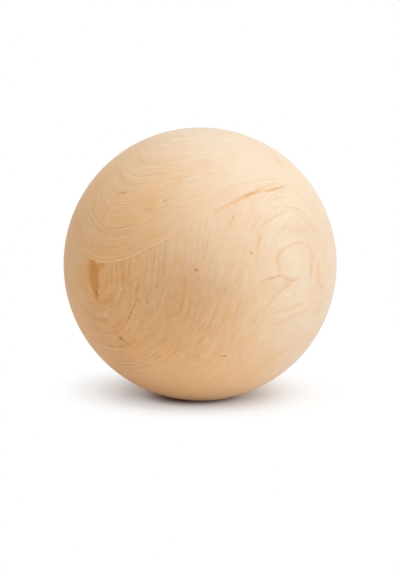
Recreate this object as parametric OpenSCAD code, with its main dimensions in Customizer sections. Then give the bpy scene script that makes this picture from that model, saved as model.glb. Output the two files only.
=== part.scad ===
// Solid wooden ball, turned from one piece of pale wood and sanded smooth all over.
// The origin is the centre of the ball, +Z points up, and the ball's lowest point is half a
// diameter under the origin. It has no bore, no flat and no seam.

/* [Ball] */
// Diameter of the ball
ball_d = 40; // [10:1:120]

/* [Appearance] */
// Colour of the bare wood
wood_colour = "burlywood"; // [burlywood, wheat, tan, navajowhite]
// Number of straight sides in the drawn outline
outline_sides = 160; // [48:8:240]

/* [Hidden] */

ball_r = ball_d / 2;

// Half of the ball's round section, between the turning axis and the outline.
module half_section(r) {
    intersection() {
        circle(r = r, $fn = outline_sides);
        translate([0, -r])
            square([r, 2 * r]);
    }
}

// The ball as the lathe leaves it: its half section turned once about the vertical axis.
module ball() {
    color(wood_colour)
        rotate_extrude($fn = outline_sides)
            half_section(ball_r);
}

ball();
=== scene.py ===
import math

import bmesh
import bpy
import numpy as np
from mathutils import Matrix, Vector


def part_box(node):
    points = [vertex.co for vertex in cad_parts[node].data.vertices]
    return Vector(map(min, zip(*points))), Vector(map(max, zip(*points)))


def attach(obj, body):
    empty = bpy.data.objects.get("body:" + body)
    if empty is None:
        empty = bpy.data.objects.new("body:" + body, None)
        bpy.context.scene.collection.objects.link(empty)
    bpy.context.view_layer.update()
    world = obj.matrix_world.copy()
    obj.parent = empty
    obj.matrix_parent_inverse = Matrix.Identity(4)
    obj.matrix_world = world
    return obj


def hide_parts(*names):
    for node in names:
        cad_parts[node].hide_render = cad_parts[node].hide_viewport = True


# A turned wooden ball: a finely meshed ball with shallow pits, and a wood material whose growth
# rings, streaks, knot and specks lie where the photograph shows them and run on round the back.

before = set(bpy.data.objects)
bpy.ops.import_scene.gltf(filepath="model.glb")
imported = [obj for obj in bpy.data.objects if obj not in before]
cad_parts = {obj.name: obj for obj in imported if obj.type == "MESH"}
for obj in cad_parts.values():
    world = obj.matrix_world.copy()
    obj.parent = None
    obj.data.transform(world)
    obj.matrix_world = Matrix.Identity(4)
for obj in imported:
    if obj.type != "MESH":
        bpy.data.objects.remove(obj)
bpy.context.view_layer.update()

MM = 0.001
ball_low, ball_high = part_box("ball")
BALL_R = min(ball_high - ball_low) / 2
BALL_MM = BALL_R / MM
FLOOR_Z = ball_low.z

# Where the photograph shows the ball, in pixels from its top left corner
PHOTO_W, PHOTO_H = 400, 570
BALL_X, BALL_Y = 200.1, 264.1
BALL_RADIUS_PX = 136.75


def length(vectors):
    return np.linalg.norm(vectors, axis=-1)


def unit(vectors):
    return vectors / np.linalg.norm(vectors, axis=-1, keepdims=True)


# Camera

# It looks down by this angle, and its clip distances are in metres
ELEVATION = math.radians(8)
LENS_MM, SENSOR_MM = 100, 36
CLIP_START, CLIP_END = 0.01, 50

FOCAL_PX = LENS_MM / SENSOR_MM * max(PHOTO_W, PHOTO_H)
RIGHT = np.array([1.0, 0.0, 0.0])
UP = np.array([0.0, math.sin(ELEVATION), math.cos(ELEVATION)])
FORWARD = np.array([0.0, math.cos(ELEVATION), -math.sin(ELEVATION)])


def camera_place():
    """The place from which the ball's outline has its radius and place in the photograph."""
    distance = BALL_R / math.sin(math.atan(BALL_RADIUS_PX / FOCAL_PX))
    aside = (BALL_X - PHOTO_W / 2) / FOCAL_PX * distance
    above = (PHOTO_H / 2 - BALL_Y) / FOCAL_PX * distance
    return -(aside * RIGHT + above * UP + distance * FORWARD)


CAMERA = camera_place()
TO_CAMERA = unit(CAMERA)


def added(name, data):
    """A new object in the scene."""
    thing = bpy.data.objects.new(name, data)
    bpy.context.scene.collection.objects.link(thing)
    return thing


def add_camera():
    data = bpy.data.cameras.new("camera")
    data.lens = LENS_MM
    data.sensor_width = SENSOR_MM
    data.clip_start = CLIP_START
    data.clip_end = CLIP_END
    camera = added("camera", data)
    turn = Matrix([RIGHT, UP, -FORWARD]).transposed()
    camera.matrix_world = Matrix.Translation(CAMERA) @ turn.to_4x4()
    bpy.context.scene.camera = camera


def seen_at(points):
    """Directions from the ball's centre to what the photograph shows at these pixels."""
    x, y = np.array(points, float).T
    aside = np.outer((x - PHOTO_W / 2) / FOCAL_PX, RIGHT)
    above = np.outer((PHOTO_H / 2 - y) / FOCAL_PX, UP)
    rays = unit(aside + above + FORWARD)
    along = rays @ CAMERA
    reach = -along - np.sqrt(along ** 2 - CAMERA @ CAMERA + BALL_R ** 2)
    return (CAMERA + rays * reach[:, None]) / BALL_R


def at_bearing(points):
    """Directions from bearings, 0 towards the camera and 90 to its right, and heights, in degrees."""
    bearing, height = np.radians(np.array(points, float)).T
    aside = np.sin(bearing) * np.cos(height)
    ahead = -np.cos(bearing) * np.cos(height)
    return np.stack([aside, ahead, np.sin(height)], 1)


# Growth rings

# The upper rings close round the top and end with this one. The lower ones hang from it in U shapes.
LAST_UPPER_RING = 46
# Each guide is a ring number and pixels where that ring meets the ball's surface
UPPER_RINGS = [
    (0, [(178, 139)]),
    (6, [(152, 151), (155, 154), (167, 153), (185, 150), (205, 148), (235, 146), (258, 149)]),
    (12, [(140, 157), (145, 162), (165, 162), (185, 159), (205, 157), (240, 155), (264, 160), (284, 172)]),
    (18, [(121, 171), (126, 177), (145, 179), (165, 176), (185, 173), (200, 171), (235, 166), (265, 168)]),
    (24, [(110, 180), (116, 191), (127, 193), (150, 191), (170, 187), (190, 182), (225, 175), (262, 172)]),
    (29, [(103, 190), (108, 203), (122, 208), (145, 204), (165, 199), (185, 193), (215, 184), (250, 178)]),
    (37, [(90, 196), (94, 215), (105, 229), (120, 231), (140, 225), (160, 216), (180, 207), (205, 197),
      (232, 188), (262, 183)]),
    (42, [(80, 222), (86, 234), (97, 243), (115, 247), (135, 242), (155, 235), (180, 222), (205, 208),
      (235, 195)]),
    (46, [(78, 246), (85.1, 254.6), (89.7, 258.6), (94.2, 260.8), (100, 262.5), (106, 262.9),
      (112.5, 262.2), (121.5, 260.2), (130.5, 257.7), (139.6, 253.4), (148.7, 248.8), (157.8, 244.6),
      (164.2, 241.3), (173, 235.6), (181, 229.5), (195, 221), (208, 214), (222, 207.3), (235, 201.3),
      (247, 195.4), (262, 190), (275, 187.2), (286, 184.6), (303, 182.8)]),
]
# The same rings on the side that the photograph doesn't show, as bearings and heights
UPPER_RINGS_BEHIND = [
    (12, [(130, 66)]),
    (24, [(110, 55), (180, 62), (-130, 50)]),
    (37, [(110, 44), (180, 46), (-130, 37)]),
    (46, [(110, 33), (145, 30), (180, 30), (-140, 26), (-105, 24)]),
]
LOWER_RINGS = [
    (0, [(96, 285)]),
    (6, [(88, 300), (96, 307), (106, 302), (113, 290), (117, 265)]),
    (10, [(85, 310), (94, 319), (106, 320), (118, 310), (126, 292), (129, 262)]),
    (15, [(83, 318), (92, 329), (107, 334), (122, 329), (134, 312), (142, 292), (147, 252)]),
    (19, [(90, 336), (106, 343), (124, 341), (141, 326), (153, 300), (160, 272), (162, 246)]),
    (25, [(96, 346), (112, 355), (132, 355), (151, 341), (166, 315), (177, 285), (182, 256), (184, 232)]),
    (33, [(108, 360), (128, 366), (150, 364), (172, 349), (190, 322), (201, 292), (207, 262), (213, 228)]),
    (41, [(126, 372), (152, 369), (180, 357), (203, 334), (216, 311), (226, 284), (234, 258), (243, 232),
      (254, 208)]),
    (45, [(200, 368), (220, 348), (233, 325), (241, 300), (247, 275), (251, 250), (258, 228), (268, 209),
      (282, 199), (297, 201), (311, 214), (323, 238), (331, 268)]),
    (48, [(218, 366), (240, 340), (251, 314), (258, 288), (262, 262), (266, 240), (274, 223), (288, 213),
      (301, 217), (312, 230), (320, 250), (325, 272)]),
    (51, [(247, 343), (257, 323), (263, 311), (273, 301), (285, 290), (298, 284), (309, 284)]),
    (53, [(277, 266), (279, 255), (286, 248), (296, 242), (306, 245), (312, 257), (311, 270), (300, 278),
      (289, 279)]),
    (54.5, [(295, 260)]),
    (53, [(242, 366), (264, 338), (283, 314), (297, 306), (312, 302)]),
    (56, [(254, 362), (271, 331), (285, 321), (298, 314), (316, 308)]),
    (61, [(262, 368), (281, 356), (302, 344)]),
]
# The distance from one ring to the next in most places
RING_MM = 0.45
# How far the fitted rings may leave the guides, to run smoothly
RING_SMOOTHING = 0.003
# How many directions are worked out at a time, to spare memory
BATCH = 20000
# A path along a ring is made of this many steps
PATH_STEPS = 5


class RingField:
    """A smooth field in space that takes each guide's ring number at the guide's points."""

    def __init__(self, seen, behind=()):
        self.points = np.vstack([seen_at(p) for _, p in seen] + [at_bearing(p) for _, p in behind])
        rings = np.concatenate([[ring] * len(p) for ring, p in [*seen, *behind]])
        count = len(rings)
        apart = length(self.points[:, None] - self.points)
        plane = np.c_[np.ones(count), self.points]
        system = np.block([[apart ** 3 + RING_SMOOTHING * np.eye(count), plane],
                           [plane.T, np.zeros((4, 4))]])
        solved = np.linalg.solve(system, np.r_[rings, np.zeros(4)])
        self.weights, self.level, self.tilt = solved[:count], solved[count], solved[count + 1:]

    def at(self, directions):
        """The ring numbers at the directions, and how they rise along the surface."""
        rings = np.empty(len(directions))
        slopes = np.empty((len(directions), 3))
        for start in range(0, len(directions), BATCH):
            part = slice(start, start + BATCH)
            away = directions[part, None] - self.points
            apart = length(away)
            rings[part] = apart ** 3 @ self.weights + directions[part] @ self.tilt + self.level
            slopes[part] = np.einsum("ij,ijk->ik", 3 * apart * self.weights, away) + self.tilt
        slopes -= np.sum(slopes * directions, 1, keepdims=True) * directions
        return rings, slopes


def ring_spacing(slopes):
    """The distance from one ring to the next, in mm."""
    return BALL_MM / np.maximum(length(slopes), 1)


def follow_ring(upper, lower, start, reach_mm):
    """Directions along a growth ring, from one of them on."""
    points = [start]
    for _ in range(PATH_STEPS):
        here = points[-1]
        rings, slopes = upper.at(here[None])
        if rings[0] > LAST_UPPER_RING:
            slopes = lower.at(here[None])[1]
        way = unit(np.cross(here, slopes[0]))
        points.append(unit(here + way * reach_mm / PATH_STEPS / BALL_MM))
    return np.array(points)


# Marks

# Each line is its strength, its half width in mm and the pixels that it passes. A strength or a half
# width is one number, or several that are spaced evenly along the line.
PALE_LINES = [
    ((0.5, 0.8, 0.9, 0.85, 0.7, 0.3), 0.08,
     [(80.5, 248.8), (85.1, 253.5), (89.6, 257.3), (94.2, 259.6), (99.6, 261.3), (106, 261.8),
      (112.4, 261.2), (121.5, 259.3), (130.5, 256.7), (139.6, 252.4), (148.7, 247.8), (157.8, 243.6),
      (164.2, 240.5), (173, 234.6), (181, 227.5)]),
    ((0.6, 0.8, 0.6), 0.08,
     [(81.5, 245), (85.1, 248.6), (89.6, 252.6), (94.2, 255.4), (100.5, 257.6), (106.9, 258.1),
      (114.2, 257.3), (121.5, 255.5), (129, 252.5)]),
    (0.6, 0.06,
     [(88, 195), (88.6, 203), (91.3, 211.5), (96.5, 221), (103.5, 227), (111.5, 229.7), (121.5, 229.3),
      (132.5, 226.5), (143.5, 221), (152, 216)]),
    (0.5, 0.05,
     [(92, 197.5), (93.4, 207), (97, 215.5), (102, 222.5), (109, 226), (118.5, 226.2), (127, 224.5)]),
    (0.5, 0.06, [(102.5, 192), (106, 198.8), (111.5, 203.7), (118.5, 206.5), (127, 206.5)]),
    (0.45, 0.06, [(104.6, 189.5), (108.7, 196.5), (115, 201), (121, 203.2)]),
    (0.4, 0.07, [(150, 152), (157, 153.5), (166, 152.5), (180, 150)]),
    (0.3, 0.12, [(183, 147), (205, 144.5), (228, 143)]),
    (0.4, 0.08, [(208.5, 251), (206.3, 258.4), (203.2, 270), (200, 280)]),
    (0.7, 0.06, [(251.5, 255), (248.8, 265.5), (246.6, 276.5), (243.6, 285.5), (239.8, 296)]),
    (0.5, 0.05, [(249, 262), (246.8, 270), (244.6, 279), (241.5, 288)]),
    (0.4, 0.06, [(213, 310), (209, 320), (203, 329), (196, 338), (187, 346)]),
    (0.6, 0.04, [(159.8, 364.6), (169.4, 359.8), (176, 354.4), (181.4, 349)]),
    (0.55, 0.04, [(160.4, 366.4), (170, 361.6), (177.8, 355.8), (185.2, 349.4)]),
    (0.6, 0.04, [(161.6, 368.4), (171.2, 363), (179.6, 357), (188, 350.8)]),
    (0.4, 0.1, [(199.4, 383.8), (207.2, 378.4), (216.8, 371.2), (224, 364.6), (229.4, 359.8)]),
    (0.35, 0.1, [(204.8, 383.2), (212, 377.2), (221.6, 370.6), (228.8, 364.6)]),
    (0.5, 0.06, [(205, 392), (216.8, 387.4), (226.4, 383.8), (233, 381.2)]),
    (0.35, 0.06, [(201, 377), (209, 371.5), (218, 365)]),
    (0.35, 0.07, [(140.5, 296), (137.5, 304), (133.5, 312), (129.5, 320)]),
    (0.5, 0.06, [(176.8, 317), (172.8, 324.5), (168, 331)]),
    (0.5, 0.07, [(88, 338), (98, 345.5), (110, 348.5), (121, 347.5)]),
    (0.6, 0.1, [(114, 361.6), (120, 362.9), (126, 363.4), (132, 362.9), (138, 362.1), (146, 359.6)]),
    (0.6, 0.1,
     [(116, 364.4), (120, 365.8), (126, 366.6), (132, 366.2), (138, 365.4), (146, 363.4), (153, 361)]),
    (0.5, 0.06, [(102, 338), (112, 339), (119, 337.5)]),
    (0.35, 0.07, [(137.4, 258), (137.6, 268), (136.8, 280)]),
    (0.35, 0.07, [(275, 205.2), (283, 203.4), (291, 203.6), (299.5, 206), (306.5, 210.8)]),
]
DARK_LINES = [
    (0.5, 0.07,
     [(90.5, 199), (91.5, 207), (95, 215.5), (100, 223), (106.5, 227.5), (115, 228.5), (125, 227),
      (136, 223), (147, 217.5)]),
    (0.45, 0.08,
     [(86.8, 206), (88.8, 214), (93, 222), (99, 229.3), (106, 232.8), (117, 234), (128, 232.5),
      (139, 228.5)]),
    (0.25, 0.1, [(84, 231), (91, 240), (101, 246), (114, 247.5), (127, 244.5)]),
    (0.6, 0.07,
     [(116.9, 262.4), (126, 259.7), (135.1, 256.5), (144.2, 251.9), (153.3, 247.4), (162.4, 243),
      (171, 238), (180, 231.5)]),
    (0.45, 0.06, [(129, 171.4), (134.6, 175.2), (142, 176), (150, 175), (160, 173.3), (170, 171.3)]),
    (0.5, 0.13, [(217.5, 304), (214.8, 314.7), (211.3, 321.8), (208.4, 327.4), (203.8, 333.5)]),
    (0.4, 0.12, [(208.4, 240), (206.5, 248), (204.2, 256.5), (201.5, 264)]),
    (0.5, 0.07, [(176, 320), (172, 327), (168.5, 333)]),
    (0.8, 0.14, [(86.5, 309), (90, 313), (94, 316), (99, 318.8), (105, 320.4), (111, 319.8)]),
    (0.5, 0.12, [(86, 313.5), (91, 318.8), (97, 322.6), (104, 323.8)]),
    (0.6, 0.12, [(90, 324), (96, 329.2), (102, 332.2), (109, 333.6), (117, 332.6)]),
    ((0.5, 0.7, 0.6, 0.8), 0.08, [(137.4, 297.5), (134.5, 305), (131.5, 312), (129.2, 318.5)]),
    ((0.3, 0.5, 0.45, 0.3), 0.1,
     [(268, 211.5), (273.2, 208.5), (281.6, 206.3), (290, 206.4), (298.5, 208.8), (305.5, 213.8),
      (311.1, 220.7), (316.5, 228), (319.6, 233.5)]),
    (0.6, 0.09, [(270.5, 201.5), (276, 198.4), (280.9, 197.1), (285.5, 197)]),
    (0.6, 0.05, [(159.5, 363), (168, 358.4), (174, 353.4), (179.5, 347.6)]),
    (0.6, 0.04, [(160.2, 365.5), (169.7, 360.7), (176.9, 355.1), (183.3, 349.2)]),
    (0.6, 0.04, [(161, 367.4), (170.6, 362.3), (178.7, 356.4), (186.6, 350.1)]),
    (0.7, 0.14, [(110, 357), (114, 359.8), (120, 361.4), (126, 362), (132, 361.3), (138, 360)]),
    (0.7, 0.14,
     [(113, 361), (116, 362.9), (120, 364.3), (126, 365), (132, 364.8), (138, 364), (146, 361.3),
      (153, 358)]),
    (0.6, 0.14,
     [(114, 364.5), (120, 367.3), (126, 368.3), (132, 367.6), (138, 367), (146, 366.8), (153, 365)]),
]
AMBER_LINES = [
    ((0.5, 0.7, 0.85, 1, 1, 0.9, 0.7), (0.2, 0.2, 0.22, 0.25, 0.24, 0.2, 0.16),
     [(210.6, 213.6), (218.3, 210.1), (225.3, 206.6), (233.8, 201.9), (242.2, 197.8), (246.4, 195.7),
      (254.9, 192.3), (260, 190.6), (265, 189.4)]),
    ((0.5, 0.8, 0.9, 0.8, 0.5), 0.18,
     [(262, 191.9), (265, 191.2), (270, 190.2), (276, 188.7), (281, 187.1), (287, 185)]),
    (0.3, 0.08, [(284, 185.5), (292, 184.3), (303, 182.4)]),
    (0.45, 0.24, [(253, 190.5), (258, 188.6), (264, 187.3), (271, 184.8), (279, 182.8)]),
    ((0.6, 0.7, 0.7, 0.6), 0.2,
     [(280.5, 277), (279.2, 270), (277.6, 262), (277.9, 256), (280.6, 251.6), (285.5, 247.6)]),
    (0.6, 0.12,
     [(279.5, 254), (283.5, 249.8), (290, 245.3), (296, 243), (301.3, 242.6), (305.8, 244.8),
      (309.3, 248.9), (311.3, 254), (312.5, 259)]),
    (0.6, 0.3, [(312.4, 249), (312.3, 257), (311.6, 265), (311.2, 273), (311.8, 281)]),
    (0.6, 0.25, [(319.6, 257), (318.8, 266), (318.6, 274), (319.6, 282), (322.4, 287), (325.5, 293)]),
    (0.45, 0.16, [(257, 234), (261.9, 226.3), (268.9, 220.3), (276, 216.2), (284.4, 212.8), (289, 211.6)]),
    (0.45, 0.14, [(292, 211.5), (301.3, 216.3), (307, 222), (312.6, 228), (319.6, 235.5), (324, 243)]),
    (0.3, 0.28, [(275, 230), (284.4, 228.4), (293, 229.3), (301.3, 229.8), (310.5, 228.3)]),
    (0.5, 0.2, [(261.5, 231), (259.8, 235.5), (258.4, 243), (256.3, 251.5), (254.6, 258)]),
    (0.4, 0.16, [(258, 217.5), (255.6, 223), (252, 228), (248.5, 232)]),
    (0.4, 0.15, [(234.5, 214), (232.6, 219), (229.5, 224), (226.7, 230)]),
    (0.4, 0.14, [(297, 191), (299, 194.5), (302, 198)]),
    ((0.4, 0.5, 0.6, 0.5, 0.6, 0.55, 0.4), (0.12, 0.17, 0.15, 0.2, 0.2, 0.14),
     [(255.5, 284), (263.3, 281), (268.9, 278.9), (274.6, 277.2), (280.2, 275.7), (284.6, 276.7),
      (288.6, 279.4), (292.9, 280.2), (297.1, 278.7), (300.5, 275.5)]),
    ((0.6, 0.6, 0.5, 0.5, 0.3, 0.2), 0.16,
     [(293, 281.5), (288.6, 285.2), (283, 288.9), (277.4, 293.8), (272.5, 298.7), (268, 304.5),
      (262, 311)]),
    (0.5, 0.16, [(230.5, 277), (228.5, 282), (226.4, 287), (224.2, 293)]),
    (0.4, 0.12, [(279, 313.4), (291.5, 307.7), (300.5, 304.3), (306, 303.5)]),
    (0.4, 0.2,
     [(270, 330), (277.4, 324.8), (284, 321.2), (290, 317.5), (297.6, 313.6), (307, 311), (316, 309.5)]),
    (0.5, 0.22, [(265, 363), (272, 358.5), (279, 354), (286, 350.3), (292, 347.2)]),
    (0.25, 0.4, [(222, 318), (231, 312), (240, 306.5), (249, 302)]),
    ((0.5, 0.7, 0.5, 0.6, 0.4), 0.17,
     [(186.5, 280), (185.3, 286), (185, 293), (183.5, 300), (181.5, 306), (179, 312)]),
    (0.8, 0.18, [(119, 336), (123.5, 340.5), (128, 344), (132, 347), (136, 351.5), (140, 357.5)]),
    (0.7, 0.24, [(126, 343.2), (132, 342.2), (138.5, 342.6)]),
    ((0.6, 0.55, 0.4, 0.25), 0.3,
     [(138.5, 150), (138.3, 157), (143, 161.4), (150, 163.2), (159, 162.6), (168, 161.4), (180, 158.8),
      (192, 156), (202, 154.6)]),
    (0.5, 0.12, [(173, 137.8), (179.6, 135.9), (186, 137.2)]),
    (0.4, 0.12, [(173, 142.4), (179.6, 141.9), (186, 141)]),
    (0.5, 0.12, [(154, 150), (160, 148.6), (167, 148.8)]),
    (0.45, 0.14, [(108, 177.5), (110.7, 185), (114.9, 189.7), (120, 192.3)]),
    (0.5, 0.13, [(120.9, 165), (120.5, 172), (122.4, 177), (128, 179.2)]),
    (0.8, 0.12, [(117, 192.4), (122, 192.9), (128, 192.8)]),
    (0.4, 0.13, [(142, 210), (148, 209), (154, 207.8)]),
    (0.6, 0.12, [(161, 202.5), (166, 200.2), (171, 197.5)]),
    (0.4, 0.3, [(179, 255), (179.4, 263), (179.6, 271)]),
    (0.35, 0.28, [(163, 258), (163, 265), (163.5, 272)]),
    ((0.4, 0.6, 0.6, 0.4), 0.25, [(88.4, 258.5), (88.2, 265), (87.9, 272), (88.4, 278), (90.4, 285)]),
    (0.2, 0.35, [(262, 150), (271, 156.5), (279, 163), (286, 170.5)]),
]
BROWN_LINES = [
    ((0.5, 1, 1, 0.6), 0.11, [(241, 198.4), (246.5, 195.5), (251, 193.6), (255.5, 192), (261, 190.4)]),
    ((0.4, 0.9, 1, 0.7), 0.08, [(263.5, 191.6), (269.5, 190.3), (276, 188.7), (281.6, 187), (287, 185)]),
    (0.4, 0.1, [(234.3, 213), (233, 217), (231, 221)]),
    (0.2, 0.09, [(259.8, 237), (258.8, 243), (257.6, 249)]),
    ((0.3, 0.6, 0.8, 0.5), 0.08,
     [(260, 282.2), (266.5, 279.8), (270.5, 278.5), (276, 277), (281.5, 275.6)]),
    (0.2, 0.09, [(285, 277.2), (290, 280), (294, 280), (298.5, 277.5)]),
    (0.4, 0.09, [(227.5, 284.5), (225.7, 289.5), (224, 294)]),
    (0.6, 0.09, [(185, 277.5), (184.5, 282), (184.6, 287)]),
    (0.6, 0.1, [(184.8, 297.5), (182.7, 303.5), (180.5, 308.5)]),
    (0.4, 0.06, [(172.5, 138), (179.6, 135.8), (186.5, 137.2)]),
    (0.9, 0.09, [(118.5, 192.6), (123, 193), (127.5, 192.9)]),
    (0.4, 0.18, [(129, 283), (131.5, 285), (133, 288)]),
    (0.6, 0.08, [(143.5, 210), (147.3, 209.3), (151, 208.5)]),
    (0.6, 0.08, [(162.5, 202), (166, 200.2), (170, 198)]),
    (0.4, 0.07, [(293, 306.2), (299, 304.3), (304, 303.4)]),
    (0.55, 0.13, [(120, 337), (124, 340.8), (128, 344), (132, 347)]),
    (0.5, 0.16, [(92.5, 259), (93.2, 266), (93.8, 274), (95, 283)]),
]
# Specks: pixel, half length and half width in mm, the way that they lie in degrees, strength
SPECKS = [
    (196.3, 269.9, 0.16, 0.15, 0, 0.95), (251.5, 252.8, 0.15, 0.13, 30, 0.65),
    (236.8, 282, 0.2, 0.11, 5, 0.3), (223.8, 356.1, 0.28, 0.12, 3, 0.75),
    (198.8, 356.2, 0.17, 0.11, 0, 0.5), (218.3, 354.1, 0.11, 0.08, 0, 0.25),
    (240.1, 354.1, 0.2, 0.09, 20, 0.3), (120.9, 338.3, 0.23, 0.17, -30, 1.25),
    (96.4, 292.7, 0.21, 0.15, 90, 1.3), (95.8, 286.8, 0.14, 0.14, 90, 0.5),
    (93.9, 266.2, 0.1, 0.1, 90, 0.25), (94.5, 273, 0.16, 0.1, 90, 0.25),
    (131.2, 312.5, 0.22, 0.1, 70, 0.7), (133.6, 306, 0.12, 0.08, 70, 0.4),
    (136.6, 299, 0.14, 0.08, 60, 0.5), (94.5, 318.2, 0.16, 0.07, -35, 0.5),
    (128.8, 317.8, 0.16, 0.12, 60, 0.8), (157.1, 286.4, 0.16, 0.1, 70, 0.65),
    (151.2, 292.2, 0.1, 0.08, 0, 0.4), (155, 293.6, 0.1, 0.08, 0, 0.4), (147, 302, 0.13, 0.12, 0, 0.65),
    (141.6, 285.9, 0.08, 0.08, 0, 0.3), (198.6, 278.8, 0.09, 0.09, 0, 0.5),
    (166.2, 339.4, 0.14, 0.09, 50, 0.35), (172.6, 330.9, 0.09, 0.08, 0, 0.3),
    (160.6, 344.3, 0.09, 0.08, 0, 0.3), (154.5, 356.5, 0.12, 0.08, 30, 0.3),
    (122.6, 177, 0.12, 0.09, 0, 0.45), (167.6, 203.8, 0.09, 0.08, 0, 0.4),
]
# The knot's stain at the left, and the lobe at its side
KNOT_LINES = [
    ((0.9, 1, 1, 1, 0.9, 0.6), (0.7, 0.75, 0.85, 1, 1.25, 1.25, 1, 0.75, 0.55, 0.55, 0.55, 0.4),
     [(92.3, 254), (92.3, 258.5), (92.4, 262), (92.6, 266), (93.5, 272), (93.7, 277), (94.4, 284),
      (95, 289), (95.8, 293), (96.8, 297), (97.2, 300), (97.8, 305)]),
    ((0.55, 0.75, 0.6, 0.4), (0.5, 0.48, 0.4, 0.28),
     [(95.5, 269.5), (98.3, 267.4), (101, 265.6), (103.6, 264.7), (106.5, 264.9)]),
]
# Soft stained patches: pixel, radius in mm, strength
PATCHES = [
    (205.6, 162.3, 0.7, 0.5), (231.7, 156.7, 0.6, 0.4), (224.6, 168.6, 0.5, 0.25),
    (211.3, 174.2, 0.5, 0.25), (179.6, 181.3, 0.7, 0.4), (281.6, 163, 0.9, 0.4),
    (151.5, 200.3, 0.6, 0.3), (152, 208.5, 0.9, 0.35), (151.5, 236.2, 0.6, 0.35),
    (100.5, 271.5, 0.7, 0.4), (97.8, 306, 0.9, 0.45), (131, 285.2, 0.5, 0.4), (157.8, 283.8, 0.4, 0.4),
    (188, 284, 0.5, 0.4), (217.6, 297.1, 0.6, 0.4), (247.8, 266.9, 0.6, 0.45), (245, 341.5, 0.6, 0.15),
    (226.7, 314.7, 0.8, 0.25), (287.2, 283.1, 0.6, 0.45), (311.2, 268.3, 0.5, 0.4), (318, 310, 1, 0.4),
    (189.4, 355.5, 0.5, 0.3),
]


# A curve has this many points to each stretch between the points that it is drawn through
CURVE_STEPS = 6
# A mark ends this far out, in mm, or at so many of its half widths or lengths if that is more
FADE_MM = 0.5
FADE_HALF_WIDTHS = 4
FADE_HALF_LENGTHS = 3.5
# It is looked for a little further out, in mm
MARGIN_MM = 0.7
# Marks share a layer if they lie this much further apart than they fade, in mm
APART_MM = 1.4
# The distance across, in half widths, where there is no mark
FAR = 9.0


def smooth_curve(points):
    """The points joined by a smooth curve."""
    ends = np.vstack([2 * points[0] - points[1], points, 2 * points[-1] - points[-2]])
    curve = []
    for before, start, end, after in zip(ends, ends[1:], ends[2:], ends[3:]):
        for t in np.arange(CURVE_STEPS) / CURVE_STEPS:
            curve.append(start + 0.5 * t * (end - before + t * (2 * before - 5 * start + 4 * end - after
                                            + t * (3 * (start - end) + after - before))))
    return np.array([*curve, points[-1]])


def spread(values, count):
    """One value, or several spaced evenly, read at this many even steps."""
    values = np.atleast_1d(values)
    return np.interp(np.linspace(0, 1, count), np.linspace(0, 1, len(values)), values)


class Stroke:
    """A mark along a path of directions, which fades to nothing at both ends."""

    def __init__(self, strengths, half_widths, points):
        self.path = unit(smooth_curve(points))
        inner = np.atleast_1d(strengths)
        if len(inner) == 1:
            inner = np.repeat(inner, 3)
        self.strengths = spread([0, *inner, 0], len(self.path))
        self.half_widths = spread(half_widths, len(self.path))
        self.fade = max(FADE_MM, FADE_HALF_WIDTHS * self.half_widths.max())

    def measure(self, directions):
        """The distance in mm, and rows of the distance in half widths, 0 and the strength."""
        nearest = np.full(len(directions), np.inf)
        rows = np.zeros((len(directions), 3))
        for k in range(len(self.path) - 1):
            step = self.path[k + 1] - self.path[k]
            offset = directions - self.path[k]
            t = np.clip(offset @ step / (step @ step), 0, 1)
            apart = length(offset - t[:, None] * step) * BALL_MM
            side = np.sign(offset @ np.cross(self.path[k], step))
            width = self.half_widths[k] * (1 - t) + self.half_widths[k + 1] * t
            strength = self.strengths[k] * (1 - t) + self.strengths[k + 1] * t
            closer = apart < nearest
            nearest[closer] = apart[closer]
            rows[closer, 0] = (side * apart / width)[closer]
            rows[closer, 2] = strength[closer]
        rows[nearest > self.fade, 2] = 0
        return nearest, rows


class Speck:
    """A small oval mark, with its long side turned by some degrees from level."""

    def __init__(self, centre, half_length, half_width, lie, strength):
        self.path = centre[None]
        east = unit(np.cross([0, 0, 1], centre))
        north = np.cross(centre, east)
        turn = math.radians(lie)
        self.long_way = (east * math.cos(turn) + north * math.sin(turn)) / half_length
        self.wide_way = (north * math.cos(turn) - east * math.sin(turn)) / half_width
        self.strength = strength
        self.fade = max(FADE_MM, FADE_HALF_LENGTHS * half_length)

    def measure(self, directions):
        """The distance in mm, and rows of the place in half sizes and the strength."""
        offset = (directions - self.path[0]) * BALL_MM
        apart = length(offset)
        strength = np.where(apart < self.fade, self.strength, 0)
        return apart, np.stack([offset @ self.long_way, offset @ self.wide_way, strength], 1)


def in_layers(marks):
    """The marks shared out over layers, so that the marks of one layer lie well apart."""
    layers = []
    for mark in marks:
        for layer in layers:
            gaps = [length(mark.path[:, None] - other.path).min() for other in layer]
            if min(gaps) * BALL_MM > APART_MM + mark.fade:
                layer.append(mark)
                break
        else:
            layers.append([mark])
    return layers


def measured(directions, layer):
    """Rows of where the directions lie in the layer's nearest mark, and of its strength there."""
    rows = np.tile([FAR, 0.0, 0.0], (len(directions), 1))
    nearest = np.full(len(directions), np.inf)
    for mark in layer:
        middle = mark.path.mean(0)
        reach = length(mark.path - middle).max() + (mark.fade + MARGIN_MM) / BALL_MM
        near = np.flatnonzero(length(directions - middle) < reach)
        apart, found = mark.measure(directions[near])
        closer = apart < nearest[near]
        nearest[near[closer]] = apart[closer]
        rows[near[closer]] = found[closer]
    return rows


# Marks on the side that the photograph doesn't show

UNSEEN_SEED = 5
UNSEEN_STROKES = 66
UNSEEN_SPECKS = 26
# How far behind the rim they begin, as a share of the radius
UNSEEN_FROM = 0.08
# The least and the most of a stroke's length in mm, its strength and its half width in mm
STROKE_RANGE = (1.5, 0.3, 0.1), (6, 0.65, 0.24)
# The same for a speck's half length and half width in mm, its lie in degrees and its strength
SPECK_RANGE = (0.14, 0.1, -60, 0.25), (0.3, 0.17, 60, 0.7)
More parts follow.
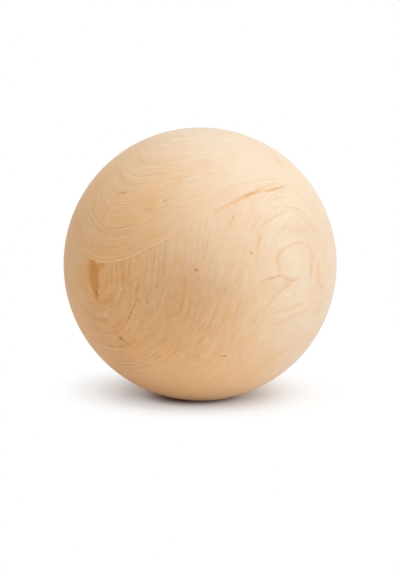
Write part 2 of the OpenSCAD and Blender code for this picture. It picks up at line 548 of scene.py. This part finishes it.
# How often a stroke has a brown core, and brings a longer, fainter pale line elsewhere
CORE_EVERY, CORE_HALF_WIDTH = 3, 0.09
PALE_EVERY, PALE_HALF_WIDTH = 2, 0.06
PALE_LONGER, PALE_FAINTER = 2, 0.8


def unseen_place(rng):
    """A random direction behind the rim that the camera sees."""
    while True:
        place = unit(rng.normal(size=3))
        if place @ TO_CAMERA < -UNSEEN_FROM:
            return place


def add_unseen(marks, upper, lower):
    """Adds strokes along the growth rings, and specks, like those on the side that shows."""
    rng = np.random.default_rng(UNSEEN_SEED)
    for number in range(UNSEEN_STROKES):
        place = unseen_place(rng)
        reach, strength, half_width = rng.uniform(*STROKE_RANGE)
        path = follow_ring(upper, lower, place, reach)
        marks["amber"].append(Stroke(strength, half_width, path))
        if number % CORE_EVERY == 0:
            marks["brown"].append(Stroke(strength, CORE_HALF_WIDTH, path[1:4]))
        if number % PALE_EVERY == 0:
            pale_path = follow_ring(upper, lower, unseen_place(rng), PALE_LONGER * reach)
            marks["pale"].append(Stroke(PALE_FAINTER * strength, PALE_HALF_WIDTH, pale_path))
    for _ in range(UNSEEN_SPECKS):
        shape = rng.uniform(*SPECK_RANGE)
        marks["speck"].append(Speck(unseen_place(rng), *shape))


def all_marks(upper, lower):
    """Every line and speck, by its kind."""
    tables = {"pale": PALE_LINES, "dark": DARK_LINES, "amber": AMBER_LINES, "brown": BROWN_LINES,
              "knot": KNOT_LINES}
    marks = {}
    for kind, lines in tables.items():
        marks[kind] = [Stroke(strengths, widths, seen_at(pixels)) for strengths, widths, pixels in lines]
    centres = seen_at([speck[:2] for speck in SPECKS])
    marks["speck"] = [Speck(centre, *speck[2:]) for centre, speck in zip(centres, SPECKS)]
    add_unseen(marks, upper, lower)
    return marks


# Slow changes over the ball

# The wood turns from tan to pale in this direction, between these shares of the radius along it: partly
# its own colour, partly painted light that makes the lit upper right and the rim paler.
PALE_AND_LIT_WAY = np.array([0.85, 0.26, 0.46])
PALE_FROM, PALE_TO = -0.88, 0.64
LEAST_PALENESS = 0.07
# How clearly the growth rings show, at least and more in uneven places
CLEARNESS, UNEVEN_CLEARNESS = 0.2, 0.5
# How strongly the fibres show
BUSYNESS = 0.85
# On the side that doesn't show, the wood is paler in places and its rings are clearer
HIDDEN_PALENESS = 0.5
HIDDEN_CLEARNESS = 0.25
# That side counts in full from this share of the radius behind the middle
HIDDEN_BY = 0.5
# An uneven field adds up this many waves, at rates between these, from a seed of its own
WAVES = 10
WAVE_RATES = 2.0, 5.0
PALENESS_SEED, CLEARNESS_SEED, ROUNDNESS_SEED = 3, 8, 4

# Soft places: pixel, radius in mm, strength. Below 0 they work the other way.
# Where the wood is darker
DEEP_PLACES = [
    (183, 295, 8, 0.06), (104, 320, 6, 0.1), (108, 345, 4, 0.15), (316, 235, 4, 0.08),
    (110, 280, 4, 0.06), (195, 305, 6, 0.06), (292, 305, 6, -0.06), (150, 320, 4, -0.05),
    (110, 182, 4, -0.05),
]
# Where its growth rings are clearer
CLEAR_PLACES = [
    (96, 321, 5, 1.1), (128, 361, 5, 1.3), (120, 215, 8, 0.38), (118, 278, 3, 0.2), (150, 165, 7, 0.18),
    (252, 168, 4, 0.5), (290, 212, 4, 0.3), (318, 306, 4, -0.5), (295, 258, 5, -0.6),
    (185, 365, 6, 0.3), (288, 165, 4, -0.4), (230, 240, 8, -0.3), (225, 330, 7, -0.2),
    (200, 390, 6, 0.4),
]
# Where its fibres show more
BUSY_PLACES = [
    (125, 283, 4, 2.7), (152, 318, 7, 1.9), (205, 325, 8, 1.2), (190, 366, 7, 0.9), (105, 315, 5, 1.2),
    (155, 285, 5, 0.5),
]
# Where it is dull
DULL_PLACES = [(150, 275, 7, 0.09), (187, 300, 7, 0.22), (150, 335, 5, 0.08)]
# Where it is golden: at the bottom this is painted light bounced up from the floor, elsewhere the wood's
# own colour
GOLD_AND_BOUNCE_PLACES = [(205, 388, 8, 0.25), (240, 325, 6, 0.1), (135, 190, 6, 0.1)]
# Where it is paler than round about
PALE_PLACES = [
    (190, 235, 5, 0.08), (175, 268, 5, 0.06), (142, 364, 5, 0.12), (240, 142, 6, 0.17),
    (72, 255, 4, 0.1), (112, 322, 5, 0.15), (98, 183, 3, -0.08), (116, 166, 3, -0.06),
    (95, 220, 4, 0.1), (95, 285, 4, -0.18), (170, 300, 3, 0.15), (250, 248, 6, -0.05),
    (126, 170, 3, 0.04), (140, 200, 6, -0.12), (150, 140, 3, -0.15), (150, 160, 4, 0.12),
    (188, 300, 4, -0.08), (235, 292, 5, 0.06), (292, 262, 4, 0.09), (285, 358, 4, 0.08),
    (228, 325, 8, -0.09), (242, 368, 6, -0.11), (128, 340, 4, -0.13), (320, 280, 4, -0.13),
    (215, 190, 6, -0.05), (130, 340, 3, -0.08), (92, 338, 4, 0.12), (172, 198, 4, -0.06),
    (202, 264, 6, 0.08), (265, 288, 5, 0.07), (110, 300, 4, -0.06), (152, 295, 4, -0.08),
    (190, 300, 4, -0.05), (278, 152, 6, 0.06), (255, 348, 6, 0.05), (150, 378, 4, -0.05),
    (330, 262, 3, -0.04), (210, 200, 4, -0.04), (310, 318, 4, -0.04), (190, 200, 3, 0.11),
    (130, 222, 4, 0.03), (235, 158, 6, 0.05), (152, 298, 4, -0.05), (250, 280, 4, -0.08),
    (130, 288, 4, 0.06), (130, 308, 4, 0.06), (190, 222, 4, 0.05), (170, 240, 3, -0.05),
    (225, 242, 6, -0.03),
]


def soft_places(directions, places):
    """Soft round places added up."""
    level = np.zeros(len(directions))
    for centre, (_, _, radius, strength) in zip(seen_at([p[:2] for p in places]), places):
        apart = length(directions - centre) * BALL_MM
        level += strength * np.exp(-(apart / radius) ** 2)
    return level


def low_waves(directions, seed):
    """A smooth uneven field over the ball, from 0 to 1."""
    rng = np.random.default_rng(seed)
    field = np.zeros(len(directions))
    for _ in range(WAVES):
        way = unit(rng.normal(size=3)) * rng.uniform(*WAVE_RATES)
        field += np.cos(directions @ way + rng.uniform(0, 2 * math.pi))
    return (field - field.min()) / (field.max() - field.min())


def hidden(directions):
    """0 on the side that the photograph shows, rising to 1 behind its rim."""
    return np.clip(-directions @ TO_CAMERA / HIDDEN_BY, 0, 1)


def paleness_and_painted_light(directions):
    """How pale the wood is, from 0 to 1, apart from its grain, with painted light: paler towards the lit
    side and the rim.
    """
    share = np.clip((directions @ PALE_AND_LIT_WAY - PALE_FROM) / (PALE_TO - PALE_FROM), 0, 1)
    rise = share * share * (3 - 2 * share)
    behind = HIDDEN_PALENESS * hidden(directions) * (1 - share) * low_waves(directions, PALENESS_SEED)
    return LEAST_PALENESS + (1 - LEAST_PALENESS) * rise + soft_places(directions, PALE_PLACES) + behind


def clearness(directions):
    """How strongly the growth rings show."""
    return (CLEARNESS + UNEVEN_CLEARNESS * low_waves(directions, CLEARNESS_SEED)
            + HIDDEN_CLEARNESS * hidden(directions) + soft_places(directions, CLEAR_PLACES))


# The ball's mesh

# Cells along each edge of the cube that the ball is made from
CELLS = 128
# How far the ball is out of round, and how deep the pit of a mark of strength 1 is
OUT_OF_ROUND_MM = 0.05
PIT_MM = 0.03
# The gap round each side of the cube in its map
UV_GUTTER = 0.004


def cube_grid():
    """A cube from -1 to 1 whose sides are cut into square cells."""
    grid = bmesh.new()
    bmesh.ops.create_cube(grid, size=2)
    bmesh.ops.subdivide_edges(grid, edges=grid.edges[:], cuts=CELLS - 1, use_grid_fill=True)
    mesh = bpy.data.meshes.new("turned_ball")
    grid.to_mesh(mesh)
    grid.free()
    return mesh


def read_places(mesh):
    """The places of the mesh's vertices, one to a row."""
    places = np.empty(len(mesh.vertices) * 3)
    mesh.vertices.foreach_get("co", places)
    return places.reshape(-1, 3)


def unwrap(mesh, cube):
    """Lays the cube's six sides out as a map of three by two squares."""
    vertex = np.empty(len(mesh.loops), int)
    mesh.loops.foreach_get("vertex_index", vertex)
    middle = cube[vertex].reshape(-1, 4, 3).mean(1)
    axis = np.abs(middle).argmax(1)
    sign = np.sign(middle[np.arange(len(middle)), axis])
    axis, sign = np.repeat(axis, 4), np.repeat(sign, 4)
    place = cube[vertex]
    rows = np.arange(len(vertex))
    u = place[rows, (axis + 1) % 3] * sign
    v = place[rows, (axis + 2) % 3]
    inside = 1 - 2 * UV_GUTTER * 3
    across = (axis + 0.5 + u / 2 * inside) / 3
    upward = ((sign > 0) + 0.5 + v / 2 * inside) / 2
    mesh.uv_layers.new(name="OFBake").uv.foreach_set("vector", np.c_[across, upward].ravel())


def store(mesh, name, values):
    """Keeps a value, or three, at each of the mesh's vertices for the material to read."""
    kind, key = ("FLOAT", "value") if values.ndim == 1 else ("FLOAT_VECTOR", "vector")
    mesh.attributes.new(name, kind, "POINT").data.foreach_set(key, values.astype(np.float32).ravel())


def store_rings(mesh, directions, fields):
    """Keeps the ring numbers, the rings' spacing and how far inside the upper rings a place is."""
    for name, field in fields.items():
        rings, slopes = field.at(directions)
        spacing = ring_spacing(slopes)
        store(mesh, f"{name}_ring", rings)
        store(mesh, f"{name}_spacing", np.log2(spacing))
        if name == "upper":
            store(mesh, "inside_upper", (LAST_UPPER_RING - rings) * spacing)


def store_changes(mesh, directions):
    """Keeps what changes slowly over the ball."""
    tables = {"patch": PATCHES, "deepness": DEEP_PLACES, "dullness": DULL_PLACES,
              "goldenness_and_bounce": GOLD_AND_BOUNCE_PLACES}
    for name, places in tables.items():
        store(mesh, name, soft_places(directions, places))
    store(mesh, "paleness_and_painted_light", paleness_and_painted_light(directions))
    store(mesh, "clearness", clearness(directions))
    store(mesh, "busyness", BUSYNESS + soft_places(directions, BUSY_PLACES))


def store_marks(mesh, directions, marks):
    """Keeps the marks in layers, and returns the rows of every layer by their kind."""
    layers = {}
    for kind, same_kind in marks.items():
        layers[kind] = [measured(directions, layer) for layer in in_layers(same_kind)]
        for number, rows in enumerate(layers[kind]):
            store(mesh, f"{kind}_{number}", rows)
    return layers


def relief_mm(directions, layers):
    """How far the surface lies inside the true ball, which it never passes."""
    pits = sum(rows[:, 2] * np.exp(-rows[:, 0] ** 2 - rows[:, 1] ** 2)
               for rows in layers["brown"] + layers["speck"])
    return OUT_OF_ROUND_MM * low_waves(directions, ROUNDNESS_SEED) + PIT_MM * pits


def add_ball():
    mesh = cube_grid()
    cube = read_places(mesh)
    unwrap(mesh, cube)
    directions = unit(np.tan(cube * math.pi / 4))
    fields = {"upper": RingField(UPPER_RINGS, UPPER_RINGS_BEHIND), "lower": RingField(LOWER_RINGS)}
    store_rings(mesh, directions, fields)
    store_changes(mesh, directions)
    layers = store_marks(mesh, directions, all_marks(**fields))
    places = directions * (BALL_MM - relief_mm(directions, layers)[:, None]) * MM
    mesh.vertices.foreach_set("co", places.ravel())
    mesh.shade_smooth()
    mesh.materials.append(wood_material({kind: len(rows) for kind, rows in layers.items()}))
    mesh.update()
    ball = added("turned_ball", mesh)
    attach(ball, "root")
    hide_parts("ball")


# Material nodes

def display(red, green, blue):
    """The node colour that shows as these red, green and blue values from 0 to 255."""
    shown = np.array([red, green, blue]) / 255
    plain = np.where(shown <= 0.04045, shown / 12.92, ((shown + 0.055) / 1.055) ** 2.4)
    return (*plain, 1.0)


def feed(socket, value):
    """Links a formula to a node's socket, or sets the socket to a plain value."""
    if isinstance(value, Formula):
        value.nodes.id_data.links.new(value.socket, socket)
    else:
        socket.default_value = value


def made(nodes, kind, output, inputs, **settings):
    """An output of a new node, whose inputs are given by their names or numbers."""
    node = nodes.new(kind)
    for name, value in settings.items():
        setattr(node, name, value)
    for name, value in inputs.items():
        feed(node.inputs[name], value)
    return Formula(nodes, node.outputs[output])


class Formula:
    """A value in a tree of nodes. Arithmetic on it adds Math nodes."""

    def __init__(self, nodes, socket):
        self.nodes = nodes
        self.socket = socket

    def math(self, operation, *others):
        inputs = dict(enumerate((self, *others)))
        return made(self.nodes, "ShaderNodeMath", 0, inputs, operation=operation)

    def __add__(self, other):
        return self.math("ADD", other)

    def __sub__(self, other):
        return self.math("SUBTRACT", other)

    def __mul__(self, other):
        return self.math("MULTIPLY", other)

    def __rsub__(self, other):
        return self * -1 + other

    __radd__ = __add__
    __rmul__ = __mul__

    def ramp(self, low, high):
        """0 up to low, 1 from high, and a smooth rise between. With low above high it falls."""
        rises = low < high
        inputs = {"Value": self, "From Min": min(low, high), "From Max": max(low, high),
                  "To Min": 0 if rises else 1, "To Max": 1 if rises else 0}
        return made(self.nodes, "ShaderNodeMapRange", "Result", inputs, interpolation_type="SMOOTHSTEP")

    def spot(self, other):
        """1 where both are 0, falling to 0 at about 3 every way."""
        return ((self * self + other * other) * -0.5).math("EXPONENT")


class Sheet:
    """The nodes of one material."""

    def __init__(self, name):
        self.material = bpy.data.materials.new(name)
        self.material.use_nodes = True
        self.nodes = self.material.node_tree.nodes
        self.nodes.clear()

    def stored(self, name, output="Fac"):
        return made(self.nodes, "ShaderNodeAttribute", output, {}, attribute_name=name)

    def stored_three(self, name):
        split = self.nodes.new("ShaderNodeSeparateXYZ")
        feed(split.inputs[0], self.stored(name, "Vector"))
        return [Formula(self.nodes, out) for out in split.outputs]

    def place(self):
        """The object's own coordinates, in mm."""
        return self.scaled(made(self.nodes, "ShaderNodeTexCoord", "Object", {}), 1 / MM)

    def scaled(self, vector, scale):
        inputs = {0: vector, "Scale": scale}
        return made(self.nodes, "ShaderNodeVectorMath", 0, inputs, operation="SCALE")

    def noise(self, vector=None, w=None, scale=1, detail=2, rough=0.5):
        """Noise about 0, mostly from -1 to 1, over a vector, over one value w or over both."""
        inputs = {"Scale": scale, "Detail": detail, "Roughness": rough}
        if vector is not None:
            inputs["Vector"] = vector
        if w is not None:
            inputs["W"] = w
        dimensions = "1D" if vector is None else "3D" if w is None else "4D"
        level = made(self.nodes, "ShaderNodeTexNoise", "Fac", inputs, noise_dimensions=dimensions)
        return (level - 0.5) * 4

    def mix(self, first, second, share):
        # Sockets 6 and 7 and output 2 are those for colours
        inputs = {"Factor": share, 6: first, 7: second}
        return made(self.nodes, "ShaderNodeMix", 2, inputs, data_type="RGBA", clamp_factor=True)

    def shader(self, kind, **inputs):
        """A shader or bump node, whose inputs are named with lines for spaces."""
        inputs = {name.replace("_", " "): value for name, value in inputs.items()}
        return made(self.nodes, kind, 0, inputs)

    def finished(self, shader):
        """The material, which shows this shader."""
        output = self.nodes.new("ShaderNodeOutputMaterial")
        feed(output.inputs["Surface"], shader)
        return self.material


# Wood

# The wood's tan and pale ends: tan on the shaded lower left, pale on the lit upper right, partly its own
# colour and partly painted light
TAN_SHADED_SIDE = display(236, 184, 124)
PALE_LIT_SIDE = display(234, 216, 190)
LINE_SHADE = display(184, 108, 44)
LINE_DARK = display(196, 134, 80)
LINE_LIGHT = display(250, 221, 180)
AMBER = display(218, 157, 70)
KNOT_STAIN = display(212, 139, 66)
BROWN = display(196, 130, 68)
SPECK = display(154, 72, 22)
DULL = display(168, 130, 88)
GOLD_AND_BOUNCE = display(238, 203, 148)

# The upper rings meet the lower ones within this distance, and their noise starts at this number
EDGE_MM = 0.03
UPPER_FROM = 100
# Lines are drawn one to so many rings, in powers of two, each with noise of its own
OCTAVES = (-2, -1, 0, 1)
OCTAVE_APART = 17.3
# How far they stray together and one by one, in rings
STRAY, STRAY_EACH = 0.15, 0.3
# How strong crisp lines are, their middle level, and how strong the fine and broad ones between are
CRISP, CRISP_MIDDLE, FINE, BROAD = 1.3, 0.36, 0.7, 0.3
# How strongly pores, lines, stains and the rims of specks tint the wood
PORE_TINT, LINE_TINT, STAIN_TINT, RIM_TINT = 0.2, 0.45, 0.5, 0.35
# The knot's stain fades between these distances across, in half widths
KNOT_FADE = (0.5, 1.3)
# Relief too fine for the mesh, and how far marks sink in it
BUMP, BUMP_MM = 0.12, 0.02
MARK_SINK = 1.2
GLOSS = 0.2
SHEEN, SHEEN_ROUGHNESS = 0.12, 0.5


class Grain:
    """The rings' lines and fibres, and the noise that the colour, the marks and the relief share."""

    def __init__(self, sheet):
        self.sheet = sheet
        self.place = sheet.place()
        self.clearness = sheet.stored("clearness")
        self.busyness = sheet.stored("busyness")
        upper, lower = sheet.stored("upper_ring"), sheet.stored("lower_ring")
        self.in_upper = sheet.stored("inside_upper").ramp(-EDGE_MM, EDGE_MM)
        self.ring = lower + self.in_upper * (upper + UPPER_FROM - lower)
        upper_lines = self.ring_lines(upper, sheet.stored("upper_spacing"))
        lower_lines = self.ring_lines(lower, sheet.stored("lower_spacing"))
        self.lines = lower_lines + self.in_upper * (upper_lines - lower_lines)
        self.fibre = self.drawn_out(self.ring, per_mm=1, per_ring=1.1, detail=2, rough=0.7)
        self.dabs = self.drawn_out(self.ring, per_mm=0.45, per_ring=0.9, detail=3, rough=0.65)
        self.bands = self.drawn_out(self.ring, per_mm=0.08, per_ring=0.16, detail=1.5)
        self.mottle = sheet.noise(self.place, scale=0.28, detail=4, rough=0.6)
        self.speckle = sheet.noise(self.place, scale=1.7, detail=2, rough=0.6)
        self.ragged = sheet.noise(self.place, scale=2.2, detail=2, rough=0.6)
        self.sanding = sheet.noise(self.place, scale=6, detail=2)

    def drawn_out(self, ring, per_mm, per_ring, detail, rough=0.5):
        """Noise drawn out along the rings, which changes this fast with each mm and each ring."""
        place = self.sheet.scaled(self.place, per_mm)
        return self.sheet.noise(place, w=ring * per_ring, detail=detail, rough=rough)

    def added_to(self, level, **shares):
        """A level with these shares of the grain's own values added."""
        for name, share in shares.items():
            level = level + getattr(self, name) * share
        return level

    def ring_lines(self, ring, spacing):
        """Fine lines that follow the rings, one to a ring, or one to several rings where they crowd."""
        drift = self.sheet.noise(self.place, scale=0.4, detail=1) * STRAY
        total = 0
        for octave in OCTAVES:
            weight = (1 - (spacing - (octave + math.log2(RING_MM))).math("ABSOLUTE")).math("MAXIMUM", 0)
            phase = ring * 2.0 ** octave + drift + OCTAVE_APART * octave
            uneven = phase + self.sheet.noise(w=phase, scale=0.7, detail=1) * STRAY_EACH
            wave = (uneven * 2 * math.pi).math("COSINE")
            share = CRISP + self.drawn_out(phase, per_mm=0.3, per_ring=0.6, detail=2)
            fine = self.drawn_out(phase, per_mm=0.9, per_ring=1.2, detail=3, rough=0.65)
            broad = self.drawn_out(phase, per_mm=0.15, per_ring=0.35, detail=1)
            crisp = (wave.ramp(0, 1) - CRISP_MIDDLE) * share * self.clearness
            between = (fine * FINE + broad * BROAD) * self.added_to(0.2, clearness=0.6)
            total = weight * (crisp + between) + total
        return total


def plain_colour(sheet, grain):
    """The colour of the wood without its marks, with painted light in its paleness and its golden bottom.
    """
    paleness_and_painted_light = grain.added_to(sheet.stored("paleness_and_painted_light"), bands=0.08, mottle=0.07, speckle=0.04)
    colour = sheet.mix(TAN_SHADED_SIDE, PALE_LIT_SIDE, paleness_and_painted_light)
    threads = grain.added_to(0, fibre=0.05, dabs=0.09) * grain.busyness
    shade = grain.added_to(0.12 + sheet.stored("deepness"), lines=0.12) + threads
    colour = sheet.mix(colour, LINE_SHADE, shade)
    colour = sheet.mix(colour, DULL, sheet.stored("dullness"))
    # Golden places; the one at the bottom is painted warm bounce light from the floor
    colour = sheet.mix(colour, GOLD_AND_BOUNCE, sheet.stored("goldenness_and_bounce"))
    glints = grain.added_to(0, fibre=0.012, dabs=0.012) * grain.busyness
    colour = sheet.scaled(colour, 1 + glints)
    pores = grain.drawn_out(grain.ring, per_mm=0.9, per_ring=3, detail=1).ramp(0.75, 1.5)
    return sheet.mix(colour, AMBER, pores * PORE_TINT)


def drawn(sheet, kind, layers):
    """How strongly the marks of one kind show."""
    total = 0
    for number in range(layers):
        along, across, strength = sheet.stored_three(f"{kind}_{number}")
        total = along.spot(across) * strength + total
    return total


def drawn_knot(sheet, grain, layers):
    """How strongly the knot's stain shows, which ends at the upper rings."""
    total = 0
    start, end = KNOT_FADE
    for number in range(layers):
        across, _, strength = sheet.stored_three(f"knot_{number}")
        apart = grain.added_to(across, ragged=0.15).math("ABSOLUTE")
        total = apart.ramp(end, start) * strength + total
    return total.math("MINIMUM", 1) * (1 - grain.in_upper)


def marked_colour(sheet, grain, marks):
    """The colour of the wood with its marks."""
    faint = grain.added_to(1, ragged=0.45)
    stain = marks["amber"] + sheet.stored("patch")
    knot, speck = marks["knot"], marks["speck"]
    brown = marks["brown"] * grain.added_to(0.5, ragged=0.1)
    tints = [
        (LINE_LIGHT, marks["pale"] * faint * LINE_TINT),
        (LINE_DARK, marks["dark"] * faint * LINE_TINT),
        (AMBER, stain * faint * STAIN_TINT),
        (KNOT_STAIN, knot * grain.added_to(0.85, lines=0.15)),
        (BROWN, brown + knot * grain.added_to(0.1, fibre=0.12, mottle=0.15)),
        (AMBER, speck.ramp(0, 0.5) * RIM_TINT),
        (SPECK, speck * grain.added_to(0.55, ragged=0.1)),
    ]
    colour = plain_colour(sheet, grain)
    for tint, share in tints:
        colour = sheet.mix(colour, tint, share)
    return colour


def wood_material(layers):
    """The ball's wood, with this many layers of each kind of mark."""
    sheet = Sheet("wood")
    grain = Grain(sheet)
    marks = {kind: drawn(sheet, kind, count) for kind, count in layers.items() if kind != "knot"}
    marks["knot"] = drawn_knot(sheet, grain, layers["knot"])
    height = grain.added_to((marks["brown"] + marks["speck"]) * -MARK_SINK,
                            fibre=0.35, lines=-0.4, sanding=0.2)
    return sheet.finished(sheet.shader(
        "ShaderNodeBsdfPrincipled",
        Base_Color=marked_colour(sheet, grain, marks),
        Roughness=grain.added_to(0.6, lines=0.02, fibre=0.03),
        Specular_IOR_Level=GLOSS,
        Sheen_Weight=SHEEN,
        Sheen_Roughness=SHEEN_ROUGHNESS,
        Normal=sheet.shader("ShaderNodeBump", Height=height, Strength=BUMP, Distance=BUMP_MM * MM),
    ))


# Floor, light and background

FLOOR_SIZE = 6
# The floor as it is seen, and as it lights the ball
FLOOR_SEEN = (0.97, 0.97, 0.97, 1)
FLOOR_BOUNCE = (0.96, 0.95, 0.94, 1)
# Close to this place the shadow is darker and warmer, fading between these distances, in mm
SHADE_UNDER_BALL = (0.58, 0.33, 0.19, 1)
SHADE_MIDDLE = (-1.2, 1.5)
SHADE_FADE = (3.2, 8)
# The shadow fades out round this place, between these distances from it, in mm
SHADOW_MIDDLE = (1, 7.5)
SHADOW_FADE = (5.5, 24.5)
WHITE = (1, 1, 1, 1)
AMBIENT = (0.272, 0.276, 0.286, 1)
# Soft lights: name, bearing and height in degrees, strength, width in degrees
LIGHTS = [
    ("key_light", 58, 48, 0.575, 70),
    ("top_light", 0, 89, 0.35, 80),
    ("low_light", 20, 3, 0.09, 60),
]


def mixed_shaders(nodes, first, second, share):
    return made(nodes, "ShaderNodeMixShader", 0, {0: share, 1: first, 2: second})


def seen_directly(nodes):
    """1 for the rays of the camera, gloss and glass, and 0 for light that bounces about."""
    path = nodes.new("ShaderNodeLightPath")
    kinds = ("Is Camera Ray", "Is Glossy Ray", "Is Transmission Ray")
    camera, gloss, glass = [Formula(nodes, path.outputs[kind]) for kind in kinds]
    return camera.math("MAXIMUM", gloss).math("MAXIMUM", glass)


def distance_mm(sheet, x, y):
    """The distance on the floor from a place in mm."""
    inputs = {0: sheet.place(), 1: (x, y, FLOOR_Z / MM)}
    return made(sheet.nodes, "ShaderNodeVectorMath", "Value", inputs, operation="DISTANCE")


def floor_material():
    """White where it is seen outside the shadow, and plain where light bounces off it."""
    sheet = Sheet("floor")
    clear = distance_mm(sheet, *SHADE_MIDDLE).ramp(*SHADE_FADE)
    far = distance_mm(sheet, *SHADOW_MIDDLE).ramp(*SHADOW_FADE)
    shaded = sheet.shader("ShaderNodeBsdfDiffuse", Color=sheet.mix(SHADE_UNDER_BALL, FLOOR_SEEN, clear))
    white = sheet.shader("ShaderNodeEmission", Color=WHITE, Strength=1)
    bounce = sheet.shader("ShaderNodeBsdfDiffuse", Color=FLOOR_BOUNCE)
    seen = mixed_shaders(sheet.nodes, shaded, white, far * clear)
    return sheet.finished(mixed_shaders(sheet.nodes, bounce, seen, seen_directly(sheet.nodes)))


def add_floor():
    half = FLOOR_SIZE / 2
    corners = [(x, y, FLOOR_Z) for x, y in ((-half, -half), (half, -half), (half, half), (-half, half))]
    mesh = bpy.data.meshes.new("floor")
    mesh.from_pydata(corners, [], [(0, 1, 2, 3)])
    mesh.materials.append(floor_material())
    floor = added("floor", mesh)


def background(nodes, colour):
    return made(nodes, "ShaderNodeBackground", 0, {"Color": colour})


def add_world():
    """White where it is seen, with dimmer light."""
    world = bpy.data.worlds.new("studio")
    world.use_nodes = True
    nodes = world.node_tree.nodes
    nodes.clear()
    light, seen = background(nodes, AMBIENT), background(nodes, WHITE)
    mixed = mixed_shaders(nodes, light, seen, seen_directly(nodes))
    feed(nodes.new("ShaderNodeOutputWorld").inputs["Surface"], mixed)
    bpy.context.scene.world = world


def add_sun(name, bearing, height, strength, width):
    """A soft light. Strength 1 shows a white that faces it as white."""
    data = bpy.data.lights.new(name, "SUN")
    data.energy = strength * math.pi
    data.angle = math.radians(width)
    sun = added(name, data)
    toward = Vector(at_bearing([(bearing, height)])[0])
    sun.rotation_mode = "QUATERNION"
    sun.rotation_quaternion = toward.to_track_quat("Z", "Y")


add_camera()
add_ball()
add_floor()
add_world()
for light in LIGHTS:
    add_sun(*light)
bpy.context.scene.view_settings.view_transform = "Standard"
